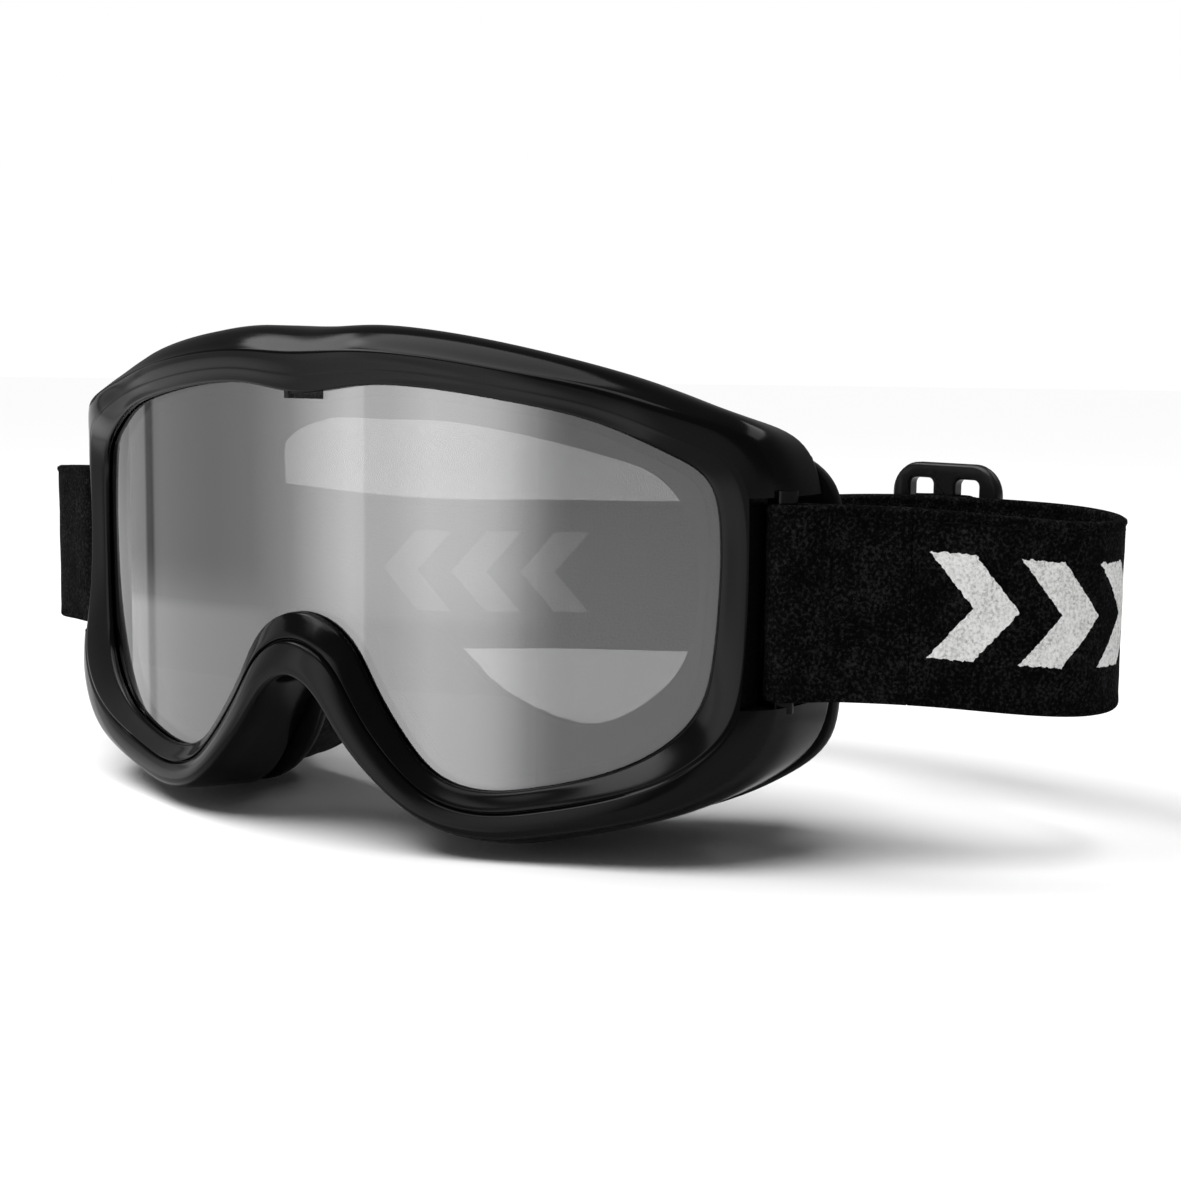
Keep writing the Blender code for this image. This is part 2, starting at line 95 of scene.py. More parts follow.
# Right half of the outline, from the top centre round to the middle of the nose arch.
# opening s, z | ridge s, z | crest height, ridge height, flare | rear edge y | foam depth
OUTLINE = [
    (0.0, 38.5, 0.0, 47.2, 3.0, 4.0, 5.0, -35.0, 13.0),
    (14.0, 40.0, 14.0, 47.6, 3.0, 4.0, 3.2, -34.5, 13.0),
    (26.0, 40.0, 27.0, 46.9, 3.0, 4.0, 2.0, -33.0, 13.0),
    (46.0, 37.5, 49.0, 43.6, 3.0, 4.0, 1.2, -29.0, 13.0),
    (64.0, 33.5, 68.0, 39.9, 3.2, 3.6, 0.0, -23.5, 13.0),
    (77.0, 28.0, 82.0, 35.8, 4.8, 5.2, -1.2, -17.0, 13.0),
    (84.5, 23.0, 93.5, 30.8, 4.6, 3.6, -0.8, -13.0, 13.0),
    (87.0, 14.0, 98.8, 19.0, 4.3, 1.5, 0.8, -11.0, 13.0),
    (87.0, 0.0, 99.8, 0.0, 4.3, 1.5, 1.6, -10.0, 13.0),
    (86.0, -12.0, 99.5, -16.5, 5.4, 3.8, 1.4, -11.0, 13.0),
    (84.0, -20.0, 96.0, -27.5, 6.6, 5.6, 1.6, -12.5, 13.0),
    (78.5, -27.0, 87.0, -36.0, 6.6, 6.2, 1.2, -16.5, 13.0),
    (66.0, -33.8, 70.5, -42.8, 5.0, 5.4, 1.6, -21.5, 13.0),
    (52.0, -37.4, 54.5, -46.4, 3.8, 4.2, 2.5, -27.5, 13.0),
    (40.0, -38.6, 41.5, -47.7, 4.0, 4.5, 4.2, -31.5, 14.0),
    (31.0, -36.0, 29.5, -44.6, 4.4, 5.4, 2.6, -36.0, 16.0),
    (24.2, -29.5, 18.5, -36.2, 4.8, 6.2, 0.0, -40.0, 18.0),
    (17.2, -19.6, 11.0, -27.6, 5.0, 6.5, -1.6, -42.0, 19.0),
    (11.4, -10.8, 6.0, -21.4, 5.0, 6.5, -1.8, -43.0, 19.0),
    (5.9, -7.0, 2.7, -19.2, 5.0, 6.5, -1.8, -43.0, 19.0),
    (0.0, -5.8, 0.0, -18.6, 5.0, 6.5, -1.8, -43.0, 19.0),
]
# The same stations on the face ring: outer x, z | eye opening x, z | groove | dome of the band
FACE = [
    (0.0, 50.2, 0.0, 32.5, 0.0, 4.6),
    (15.0, 49.6, 14.0, 32.5, 0.0, 5.0),
    (28.0, 47.6, 26.0, 31.2, 0.0, 4.8),
    (48.6, 43.4, 40.5, 28.4, 0.0, 4.2),
    (66.4, 38.6, 51.5, 25.2, 0.0, 2.8),
    (78.0, 32.0, 58.5, 20.4, 0.0, 1.7),
    (89.6, 26.2, 61.8, 13.2, 0.0, 0.6),
    (94.8, 18.0, 62.8, 5.0, 0.0, 0.6),
    (95.2, 0.0, 62.8, -4.0, 0.0, 0.6),
    (95.6, -16.5, 61.4, -13.0, 0.0, 0.6),
    (94.6, -28.6, 58.5, -20.0, 0.0, 0.8),
    (87.0, -36.8, 53.0, -26.0, 0.1, 1.0),
    (71.5, -44.4, 46.0, -29.8, 0.5, 1.2),
    (55.5, -49.2, 38.0, -31.2, 0.9, 1.6),
    (41.5, -51.4, 31.0, -30.0, 1.0, 1.6),
    (27.0, -46.4, 25.0, -27.5, 1.0, 1.0),
    (16.5, -37.4, 19.0, -24.0, 1.0, 0.4),
    (11.5, -29.0, 13.5, -19.5, 1.0, 0.0),
    (7.5, -24.0, 8.8, -15.2, 1.0, 0.0),
    (3.8, -21.2, 4.5, -12.4, 0.9, 0.0),
    (0.0, -20.2, 0.0, -11.5, 0.9, 0.0),
]
# Middle line of the strap seen from above, with the height of its centre: x, y, z.
STRAP_PATH = [
    (97.5, -26.0, 0.0),
    (107.0, -20.2, -0.2),
    (119.0, -13.2, -0.8),
    (133.0, -3.5, -2.2),
    (140.5, 6.0, -3.0),
    (142.5, 16.5, -3.2),
    (139.0, 28.0, -3.0),
    (129.0, 38.5, -2.6),
    (112.0, 46.5, -2.5),
    (89.0, 52.5, -2.8),
    (58.0, 60.0, -4.5),
    (20.0, 61.0, -8.0),
    (-11.0, 48.0, -8.5),
    (-34.0, 32.0, -8.5),
    (-62.0, 22.5, -7.0),
    (-90.0, 14.0, -4.5),
    (-110.5, -0.5, -2.6),
    (-115.2, -14.4, -1.4),
    (-107.8, -23.8, -0.5),
    (-98.0, -27.5, 0.0),
]


# ------------------------------------------------------------------ curves and lofts

def closed_spline(rows, knots, count):
    """A periodic cubic through the rows, read at even steps of the knot length."""
    pts = np.array(rows, float)
    n = len(pts)
    step = np.append(np.diff(knots), np.linalg.norm(pts[0, :2] - pts[-1, :2]))
    t = np.concatenate([[0.0], np.cumsum(step)[:-1]])
    grid = np.zeros((n, n))
    right = np.zeros_like(pts)
    for i in range(n):
        before, after = step[i - 1], step[i]
        grid[i, i - 1] += before
        grid[i, i] += 2 * (before + after)
        grid[i, (i + 1) % n] += after
        right[i] = 6 * ((pts[(i + 1) % n] - pts[i]) / after - (pts[i] - pts[i - 1]) / before)
    bend = np.linalg.solve(grid, right)
    out = []
    for u in np.linspace(0, step.sum(), count, endpoint=False):
        i = min(int(np.searchsorted(t, u, side="right")) - 1, n - 1)
        h, a, b, j = step[i], t[i] + step[i] - u, u - t[i], (i + 1) % n
        out.append(bend[i] * a**3 / (6 * h) + bend[j] * b**3 / (6 * h)
                   + (pts[i] / h - bend[i] * h / 6) * a + (pts[j] / h - bend[j] * h / 6) * b)
    return np.array(out)


def open_spline(points, count):
    """A natural cubic through the points, read at even steps along their chords."""
    pts = np.array(points, float)
    step = np.sqrt(((pts[1:] - pts[:-1]) ** 2).sum(1))
    t = np.concatenate([[0.0], np.cumsum(step)])
    n = len(pts)
    grid = np.eye(n)
    right = np.zeros_like(pts)
    for i in range(1, n - 1):
        grid[i, i - 1:i + 2] = step[i - 1], 2 * (step[i - 1] + step[i]), step[i]
        right[i] = 6 * ((pts[i + 1] - pts[i]) / step[i] - (pts[i] - pts[i - 1]) / step[i - 1])
    bend = np.linalg.solve(grid, right)
    out = []
    for u in np.linspace(0, t[-1], count):
        i = min(max(int(np.searchsorted(t, u, side="right")) - 1, 0), n - 2)
        h, a, b = step[i], t[i + 1] - u, u - t[i]
        out.append(bend[i] * a**3 / (6 * h) + bend[i + 1] * b**3 / (6 * h)
                   + (pts[i] / h - bend[i] * h / 6) * a
                   + (pts[i + 1] / h - bend[i + 1] * h / 6) * b)
    return np.array(out)


def mirrored(rows, flips):
    """Rows for the right half followed by the left half, with the listed values negated."""
    left = [[-v if k in flips else v for k, v in enumerate(row)] for row in rows[-2:0:-1]]
    return [list(r) for r in rows] + left


WHOLE = mirrored([o + f for o, f in zip(OUTLINE, FACE)], {0, 2, 9, 11})
CHORDS = [math.hypot(b[0] - a[0], b[1] - a[1]) for a, b in zip(WHOLE, WHOLE[1:])]
RING = closed_spline(WHOLE, np.concatenate([[0.0], np.cumsum(CHORDS)]), STATIONS)


def wrap(s, z, height):
    """A point at arc length s round the lens's cylinder, raised from it by height."""
    turn = s / LENS_RADIUS
    reach = LENS_RADIUS + height
    return np.array([reach * math.sin(turn),
                     LENS_FRONT_Y + LENS_RADIUS - reach * math.cos(turn), z])


def outward(row):
    """The way from the lens opening to the ridge on the unrolled lens, and its length."""
    way = row[2:4] - row[0:2]
    long = np.linalg.norm(way)
    return way / long, long


def on_lens(row, off, height):
    """A point off outside the lens opening and height in front of the lens."""
    way, _ = outward(row)
    return wrap(row[0] + way[0] * off, row[1] + way[1] * off, height)


def band_point(row, inset, y):
    """A point on the outer band at the given y."""
    way, _ = outward(row)
    ridge = wrap(row[2], row[3], row[5])
    slip = row[6] - inset
    return np.array([ridge[0] + way[0] * slip, y, ridge[2] + way[1] * slip])


def dome_point(row, inset=0.0):
    """The fullest part of the outer band, a little behind the ridge."""
    way, _ = outward(row)
    ridge = wrap(row[2], row[3], row[5])
    slip = row[DOME] - inset
    return np.array([ridge[0] + way[0] * slip, ridge[1] + 6.0, ridge[2] + way[1] * slip])


def between(row, share, y, inset=0.0):
    """A point across the face ring: share 0 at its outer edge, 1 at the eye opening."""
    outer, inner = row[9:11], row[11:13]
    way = inner - outer
    at = outer + way * share + way / np.linalg.norm(way) * inset
    return np.array([at[0], y, at[1]])


def soften(points, radii, steps=4):
    """A closed section with each corner turned into a small curve of the given size."""
    out = []
    n = len(points)
    for i, (p, r) in enumerate(zip(points, radii)):
        a, b = points[i - 1] - p, points[(i + 1) % n] - p
        la, lb = np.linalg.norm(a), np.linalg.norm(b)
        if r <= 0:
            out.append(p)
            continue
        ra, rb = min(r, la * 0.46), min(r, lb * 0.46)
        start, end = p + a / la * ra, p + b / lb * rb
        for k in range(steps + 1):
            t = k / steps
            out.append(start * (1 - t) ** 2 + p * 2 * t * (1 - t) + end * t * t)
    return out


def new_mesh(name, verts, faces, mat, sharp=40.0, uvs=None):
    """A smooth-shaded object from points in millimetres; uvs has one pair a point."""
    mesh = bpy.data.meshes.new(name)
    mesh.from_pydata((np.array(verts) * MM).tolist(), [], faces)
    if uvs is not None:
        layer = mesh.uv_layers.new(name="UVMap")
        index = np.zeros(len(mesh.loops), int)
        mesh.loops.foreach_get("vertex_index", index)
        layer.data.foreach_set("uv", np.array(uvs, np.float32)[index].ravel())
    work = bmesh.new()
    work.from_mesh(mesh)
    bmesh.ops.recalc_face_normals(work, faces=work.faces)
    work.to_mesh(mesh)
    work.free()
    mesh.polygons.foreach_set("use_smooth", [True] * len(mesh.polygons))
    mesh.set_sharp_from_angle(angle=math.radians(sharp))
    mesh.materials.append(mat)
    obj = bpy.data.objects.new(name, mesh)
    bpy.context.scene.collection.objects.link(obj)
    return obj


def loft(name, sections, mat, closed=True, sharp=40.0, uvs=None):
    """A skin over equal sections: a ring of them if closed, else a capped length."""
    n, m = len(sections), len(sections[0])
    verts = [p for sec in sections for p in sec]
    faces = []
    for i in range(n if closed else n - 1):
        j = (i + 1) % n
        for k in range(m):
            q = (k + 1) % m
            faces.append((i * m + k, j * m + k, j * m + q, i * m + q))
    if not closed:
        faces.append(tuple(range(m)))
        faces.append(tuple((n - 1) * m + k for k in range(m))[::-1])
    return new_mesh(name, verts, faces, mat, sharp, uvs)


def apply_boolean(obj, cutter, how="DIFFERENCE"):
    mod = obj.modifiers.new("cut", "BOOLEAN")
    mod.operation = how
    mod.solver = "EXACT"
    mod.object = cutter
    graph = bpy.context.evaluated_depsgraph_get()
    done = bpy.data.meshes.new_from_object(obj.evaluated_get(graph))
    obj.modifiers.clear()
    obj.data = done
    bpy.data.objects.remove(cutter, do_unlink=True)


def prism(ring, along, low, high):
    """A cutter: the ring drawn out along Z or Y."""
    n = len(ring)
    if along == "Z":
        verts = [(a, b, low) for a, b in ring] + [(a, b, high) for a, b in ring]
    else:
        verts = [(a, low, b) for a, b in ring] + [(a, high, b) for a, b in ring]
    faces = [tuple(range(n)), tuple(range(n, 2 * n))]
    faces += [(i, (i + 1) % n, n + (i + 1) % n, n + i) for i in range(n)]
    return new_mesh("cutter", verts, faces, bpy.data.materials.new("cutter"))


# ------------------------------------------------------------------ materials

class Mat:
    """A Principled material with node helpers; a helper takes a socket or a plain value."""

    def __init__(self, name, colour, rough, **sockets):
        self.mat = bpy.data.materials.new(name)
        self.mat.use_nodes = True
        self.tree = self.mat.node_tree
        self.bsdf = self.tree.nodes["Principled BSDF"]
        self.bsdf.inputs["Base Color"].default_value = (*colour, 1.0)
        self.bsdf.inputs["Roughness"].default_value = rough
        for key, value in sockets.items():
            self.bsdf.inputs[key.replace("_", " ")].default_value = value

    def node(self, kind, **values):
        made = self.tree.nodes.new(kind)
        for key, value in values.items():
            if hasattr(made, key):
                setattr(made, key, value)
            else:
                made.inputs[key.replace("_", " ")].default_value = value
        return made

    def link(self, a, b):
        self.tree.links.new(a, b)

    def place(self, kind="Object"):
        return self.node("ShaderNodeTexCoord").outputs[kind]

    def noise(self, scale, detail=4.0, rough=0.55):
        made = self.node("ShaderNodeTexNoise", Scale=scale, Detail=detail, Roughness=rough)
        self.link(self.place(), made.inputs["Vector"])
        return made.outputs["Fac"]

    def ramp(self, value, stops):
        made = self.node("ShaderNodeValToRGB")
        bar = made.color_ramp
        while len(bar.elements) < len(stops):
            bar.elements.new(0.5)
        for element, (at, tone) in zip(bar.elements, stops):
            element.position = at
            element.color = (*tone, 1.0) if hasattr(tone, "__len__") else (tone, tone, tone, 1.0)
        self.link(value, made.inputs["Fac"])
        return made.outputs["Color"]

    def math(self, how, a, b=None, c=None):
        made = self.tree.nodes.new("ShaderNodeMath")
        made.operation = how
        for slot, value in enumerate((a, b, c)):
            if value is None:
                continue
            if hasattr(value, "is_linked"):
                self.link(value, made.inputs[slot])
            else:
                made.inputs[slot].default_value = value
        return made.outputs["Value"]

    def mix(self, factor, a, b):
        made = self.tree.nodes.new("ShaderNodeMix")
        made.data_type = "RGBA"
        for slot, value in ((0, factor), (6, a), (7, b)):
            if hasattr(value, "is_linked"):
                self.link(value, made.inputs[slot])
            else:
                made.inputs[slot].default_value = (*value, 1.0) if slot else value
        return made.outputs[2]

    def bump(self, height, strength, distance):
        made = self.node("ShaderNodeBump", Strength=strength, Distance=distance)
        self.link(height, made.inputs["Height"])
        self.link(made.outputs["Normal"], self.bsdf.inputs["Normal"])

    def to(self, value, socket):
        self.link(value, self.bsdf.inputs[socket])


def moulded(name, colour, rough, spread, grain, strength, shine=0.3):
    """Moulded plastic: faint colour drift, roughness drift and a fine surface grain."""
    m = Mat(name, colour, rough, Specular_IOR_Level=shine)
    drift = m.noise(35.0, 5.0)
    m.to(m.ramp(drift, [(0.3, max(rough - spread, 0.02)), (0.7, rough + spread)]), "Roughness")
    dark = tuple(c * 0.8 for c in colour)
    pale = tuple(c * 1.35 for c in colour)
    m.to(m.mix(m.noise(90.0, 6.0), dark, pale), "Base Color")
    m.bump(m.noise(grain, 3.0), strength, 0.0002)
    return m.mat


def foam_material(name, colour, cell, strength):
    m = Mat(name, colour, 0.95, Specular_IOR_Level=0.15)
    cells = m.node("ShaderNodeTexVoronoi", Scale=cell)
    m.link(m.place(), cells.inputs["Vector"])
    holes = cells.outputs["Distance"]
    m.to(m.mix(m.math("MULTIPLY", holes, 1.6), tuple(c * 0.35 for c in colour),
               tuple(c * 1.5 for c in colour)), "Base Color")
    m.bump(m.math("ADD", holes, m.noise(cell * 0.4)), strength, 0.0006)
    return m.mat


def fleece_material(name, colour):
    m = Mat(name, colour, 1.0, Specular_IOR_Level=0.1, Sheen_Weight=0.03, Sheen_Roughness=0.6)
    nap = m.noise(2600.0, 4.0, rough=0.7)
    clump = m.noise(420.0, 5.0, rough=0.6)
    m.to(m.ramp(m.math("MULTIPLY_ADD", nap, 0.6, m.math("MULTIPLY", clump, 0.4)),
                [(0.32, tuple(c * 0.45 for c in colour)), (0.66, tuple(c * 2.2 for c in colour))]),
         "Base Color")
    m.bump(m.math("ADD", nap, clump), 0.7, 0.0007)
    return m.mat


def knit_material(name, motif):
    """Looped elastic knit. U runs along the strap and V across it, both in metres."""
    repeat, start, lift = 0.104, 0.0305, 0.0008
    pitch, bar, group_long, half_tall, slope = 0.0175, 0.0088, 0.0525, 0.0102, 0.85
    m = Mat(name, (0.003, 0.003, 0.0032), 0.95, Specular_IOR_Level=0.02, Sheen_Weight=0.003,
            Sheen_Roughness=0.5)
    split = m.node("ShaderNodeSeparateXYZ")
    m.link(m.place("UV"), split.inputs["Vector"])
    along, across = split.outputs["X"], m.math("SUBTRACT", split.outputs["Y"], lift)
    loops = m.node("ShaderNodeTexVoronoi", Scale=1500.0)
    m.link(m.place(), loops.inputs["Vector"])
    tuft = m.math("SUBTRACT", 1.0, loops.outputs["Distance"])
    fleck = m.noise(1500.0, 3.0, rough=0.65)
    patch = m.noise(160.0, 4.0)
    shade = m.math("MULTIPLY_ADD", fleck, 0.75, m.math("MULTIPLY", patch, 0.25))
    ground = m.ramp(shade, [(0.36, (0.0008, 0.0008, 0.0009)), (0.5, (0.0025, 0.0025, 0.0027)),
                            (0.66, (0.019, 0.019, 0.0195))])
    colour = ground
    if motif:
        # bold chevrons, repeated in groups of three
        lean = m.math("MULTIPLY", m.math("ABSOLUTE", across), slope)
        wobble = m.math("MULTIPLY_ADD", m.noise(900.0, 2.0), 0.0012, -0.0006)
        place = m.math("ADD", m.math("ADD", along, lean), wobble)
        group = m.math("MODULO", m.math("ADD", place, 10 * repeat - start), repeat)
        stripe = m.math("LESS_THAN", m.math("MODULO", group, pitch), bar)
        inside = m.math("LESS_THAN", group, group_long)
        tall = m.math("LESS_THAN", m.math("ADD", m.math("ABSOLUTE", across), wobble), half_tall)
        mask = m.math("MULTIPLY", m.math("MULTIPLY", stripe, inside), tall)
        white = m.ramp(shade, [(0.34, (0.42, 0.42, 0.41)), (0.5, (0.78, 0.78, 0.77)),
                               (0.62, (0.90, 0.90, 0.89))])
        colour = m.mix(mask, ground, white)
    m.to(colour, "Base Color")
    m.bump(m.math("MULTIPLY_ADD", tuft, 0.6, fleck), 0.75, 0.0006)
    return m.mat


def thread_material(name, dark, pale):
    m = Mat(name, (0.003, 0.003, 0.0033), 0.8, Specular_IOR_Level=0.04)
    twist = m.node("ShaderNodeTexWave", Scale=1400.0, Distortion=1.0)
    m.link(m.place(), twist.inputs["Vector"])
    m.bump(twist.outputs["Fac"], 0.5, 0.0003)
    m.to(m.mix(twist.outputs["Fac"], dark, pale), "Base Color")
    return m.mat


def lens_material(name, tint, alpha, rough, metal):
    m = Mat(name, tint, rough, Metallic=metal, IOR=1.5)
    smear = m.ramp(m.noise(22.0, 6.0, rough=0.7), [(0.35, rough), (0.75, rough + 0.02)])
    m.to(smear, "Roughness")
    m.to(m.mix(m.noise(14.0, 3.0), tuple(c * 0.96 for c in tint), tuple(c * 1.03 for c in tint)),
         "Base Color")
    m.bsdf.inputs["Alpha"].default_value = alpha
    return m.mat


black = moulded("frame_gloss", (0.0025, 0.0025, 0.0027), 0.15, 0.04, 900.0, 0.015, 0.07)
satin = moulded("flange_satin", (0.005, 0.005, 0.0055), 0.45, 0.08, 2500.0, 0.12, 0.2)
acetal = moulded("slider_plastic", (0.004, 0.004, 0.0045), 0.3, 0.07, 1800.0, 0.08, 0.25)
foam = foam_material("open_cell_foam", (0.012, 0.012, 0.0125), 1100.0, 0.8)
seal = foam_material("closed_cell_foam", (0.035, 0.035, 0.036), 2200.0, 0.4)
fleece = fleece_material("brushed_fleece", (0.008, 0.008, 0.0085))
knit = knit_material("elastic_knit", True)
knit_plain = knit_material("elastic_knit_plain", False)
thread = thread_material("sewing_thread", (0.0012, 0.0012, 0.0013), (0.006, 0.006, 0.0063))
smoke = lens_material("smoke_mirror", (0.151, 0.151, 0.152), 0.62, 0.015, 1.0)
clear = lens_material("clear_lens", (0.82, 0.82, 0.82), 0.08, 0.03, 0.0)


# ------------------------------------------------------------------ frame

def shell_section(row):
    """Lip, bezel, outer band and lens pocket, from the lip's front round to its back."""
    _, wide = outward(row)
    crest, ridge, rear = row[4], row[5], row[REAR]
    cut = max(float(row[GROOVE]), 0.0)
    pts = [
        on_lens(row, 0.0, 0.35),
        on_lens(row, 0.1, 1.5),
        on_lens(row, wide * 0.2, crest * 0.62),
        on_lens(row, wide * 0.38, crest * 0.9),
        on_lens(row, wide * 0.42, crest * 0.92 - cut),
        on_lens(row, wide * 0.46, crest * 0.96),
        on_lens(row, wide * 0.68, (crest + ridge) / 2 + 0.35),
        on_lens(row, wide * 0.9, ridge + 0.1),
        on_lens(row, wide, ridge - 0.9),
        dome_point(row),
        band_point(row, 0.3, rear - 1.4),
        band_point(row, 0.9, rear),
        band_point(row, 2.5, rear),
        dome_point(row, 2.5),
        on_lens(row, max(wide - 2.5, 4.7), ridge - 3.4),
        on_lens(row, 4.1, -1.6),
        on_lens(row, 4.0, -7.6),
        on_lens(row, -1.0, -7.6),
        on_lens(row, -1.0, -6.4),
        on_lens(row, 2.6, -6.4),
        on_lens(row, 2.6, 0.35),
    ]
    soft = [0.15, 0.5, 1.5, 0.35, 0.2, 0.35, 2.5, 1.6, 1.4, 6.0, 0.8, 0.5, 0.5, 4.0, 1, 0.4, 0.4,
            0.4, 0.3, 0.3, 0.2]
    return soften(pts, soft, 3)


# Frame shell, with a strap slot cut through each side of the band
shell = loft("frame_bezel", [shell_section(row) for row in RING], black, sharp=50)
for side in (1, -1):
    block = [(SLOT_INNER_X, -70), (120, -70), (120, 0), (SLOT_INNER_X, 0)]
    ring = [(side * x, y) for x, y in block]
    apply_boolean(shell, prism(ring, "Z", -SLOT_HALF, SLOT_HALF))
shell.data.set_sharp_from_angle(angle=math.radians(35))
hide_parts("frame_shell")
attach(shell, "frame")


def strap_post(side, name):
    """An oval bar across the slot, which the strap folds round."""
    lean = side * math.radians(POST_LEAN)
    along = np.array([math.cos(lean), math.sin(lean)])
    across = np.array([-along[1], along[0]])
    sections = []
    for z in np.linspace(-POST_HALF, POST_HALF, 9):
        sec = []
        for k in range(28):
            turn = 2 * math.pi * k / 28
            p = np.array([side * POST[0], POST[1]])
            p = p + along * POST_RADII[0] * math.cos(turn) + across * POST_RADII[1] * math.sin(turn)
            sec.append(np.array([p[0], p[1], z]))
        sections.append(sec)
    return loft(name, sections, black, closed=False)


for side, tag in ((1, "near"), (-1, "far")):
    post = strap_post(side, "strap_post_" + tag)
    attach(post, "frame")


def lens(name, front, thick, edge, mat, node):
    """A cylinder sheet trimmed to the outline, with its edge closed."""
    ring = [on_lens(row, edge, front) for row in RING]
    across = np.linspace(-96, 96, 145)
    up = np.linspace(-48, 48, 5)
    verts, faces = [], []
    for h in (front, front - thick):
        verts += [wrap(s, z, h) for s in across for z in up]
    m, n = len(up), len(across)
    for layer in (0, 1):
        base = layer * m * n
        for i in range(n - 1):
            for j in range(m - 1):
                a = base + i * m + j
                faces.append((a, a + 1, a + m + 1, a + m))
    for i in range(n - 1):
        for j in (0, m - 1):
            a = i * m + j
            faces.append((a, a + m, a + m + m * n, a + m * n))
    for j in range(m - 1):
        for i in (0, n - 1):
            a = i * m + j
            faces.append((a, a + 1, a + 1 + m * n, a + m * n))
    sheet = new_mesh(name, verts, faces, mat)
    apply_boolean(sheet, prism([(p[0], p[2]) for p in ring], "Y", -90, 20), "INTERSECT")
    sheet.data.set_sharp_from_angle(angle=math.radians(35))
    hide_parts(node)
    return sheet


outer = lens("lens_smoke_outer", 0.0, 1.3, 1.8, smoke, "lens_outer")
vent = [(-VENT_HALF, VENT_LOW), (VENT_HALF, VENT_LOW), (VENT_HALF, 44), (-VENT_HALF, 44)]
apply_boolean(outer, prism(vent, "Y", -66, -50))
outer.data.set_sharp_from_angle(angle=math.radians(35))
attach(outer, "frame")
inner = lens("lens_clear_inner", -4.7, 1.1, 1.4, clear, "lens_inner")
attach(inner, "frame")


def gasket_section(row):
    pts = [on_lens(row, -2.2, -1.6), on_lens(row, 1.9, -1.6),
           on_lens(row, 1.9, -4.4), on_lens(row, -2.2, -4.4)]
    return soften(pts, [0.8, 0.4, 0.4, 0.8], 3)


gasket = loft("lens_spacer", [gasket_section(r) for r in RING], seal)
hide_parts("lens_gasket")
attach(gasket, "frame")


def flange_section(row):
    """A funnel from the lens pocket back to a flat ring; the funnel's foot is at root."""
    front = row[REAR] + FLANGE_GAP
    back = front + FLANGE_THICK
    root = 0.62 + 0.26 * (row[DEPTH] - 13.0) / 6.0
    pts = [on_lens(row, 1.2, -7.9), on_lens(row, -0.9, -7.9), between(row, 1.0, front),
           between(row, 1.0, back, -0.4), between(row, 0.0, back),
           between(row, 0.0, front), between(row, root, front)]
    return soften(pts, [0.4, 0.4, 3.0, 0.5, 0.9, 0.9, 2.0], 4)


flange = loft("face_flange_ring", [flange_section(r) for r in RING], satin)
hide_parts("face_flange")
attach(flange, "frame")


def ruffle(obj, size, depth, seed):
    """Small surface unevenness along the normals, smooth at the given size."""
    mesh = obj.data
    count = len(mesh.vertices)
    co = np.zeros(count * 3)
    no = np.zeros(count * 3)
    mesh.vertices.foreach_get("co", co)
    mesh.vertices.foreach_get("normal", no)
    co, no = co.reshape(-1, 3), no.reshape(-1, 3)
    rng = np.random.default_rng(seed)
    push = np.zeros(count)
    for octave in range(3):
        freq = 2 * math.pi / (size * MM) * 1.9**octave
        for _ in range(5):
            way = rng.normal(size=3)
            way /= np.linalg.norm(way)
            push += np.sin(co @ way * freq + rng.uniform(0, 6.28)) * 0.6**octave
    push *= depth * MM / 6.0
    mesh.vertices.foreach_set("co", (co + no * push[:, None]).ravel())
    mesh.update()


def foam_edge(row):
    """How far the foam stands in from the flange's rim: more at the temples."""
    share = min(max((abs(row[9]) - 84.0) / 11.0, 0.0), 1.0)
    return 3.0 + 9.2 * share * share * (3 - 2 * share)


def foam_section(row):
    edge = foam_edge(row)
    start = row[REAR] + FLANGE_GAP + FLANGE_THICK + FOAM_GAP
    end = start + row[DEPTH]
    pts = [between(row, 0.0, start, edge), between(row, 0.0, (start + end) / 2, edge + 0.1),
           between(row, 0.0, end, edge + 0.8), between(row, 1.0, end, -1.6),
           between(row, 1.0, (start + end) / 2, -1.0), between(row, 1.0, start, -1.2)]
    return soften(pts, [0.4, 4.0, 1.0, 1.0, 4.0, 0.4], 4)


pad = loft("foam_ring", [foam_section(r) for r in RING], foam, sharp=70)
ruffle(pad, 9.0, 0.22, 3)
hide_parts("face_foam")
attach(pad, "frame")


def fleece_section(row):
    edge = foam_edge(row)
    far = row[REAR] + FLANGE_GAP + FLANGE_THICK + FOAM_GAP + row[DEPTH] + FLEECE_GAP
    pts = [between(row, 0.0, far, edge + 0.7), between(row, 0.0, far + 1.6, edge + 0.6),
           between(row, 0.0, far + 3.6, edge + 2.8), between(row, 0.5, far + 4.3),
           between(row, 1.0, far + 3.6, -4.0), between(row, 1.0, far + 1.6, -1.6),
           between(row, 1.0, far, -1.5)]
    return soften(pts, [0.4, 1.2, 2.5, 6.0, 2.5, 1.2, 0.4], 4)


lining = loft("fleece_ring", [fleece_section(r) for r in RING], fleece, sharp=70)
ruffle(lining, 6.0, 0.3, 5)
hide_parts("face_fleece")
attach(lining, "frame")


# ------------------------------------------------------------------ strap

LINE = open_spline(STRAP_PATH, 1600)
RUN = np.concatenate([[0.0], np.cumsum(np.linalg.norm(np.diff(LINE, axis=0), axis=1))])
TOTAL = RUN[-1]
END_SEAM = TOTAL - NEAR_SEAM - SEAM_LONG


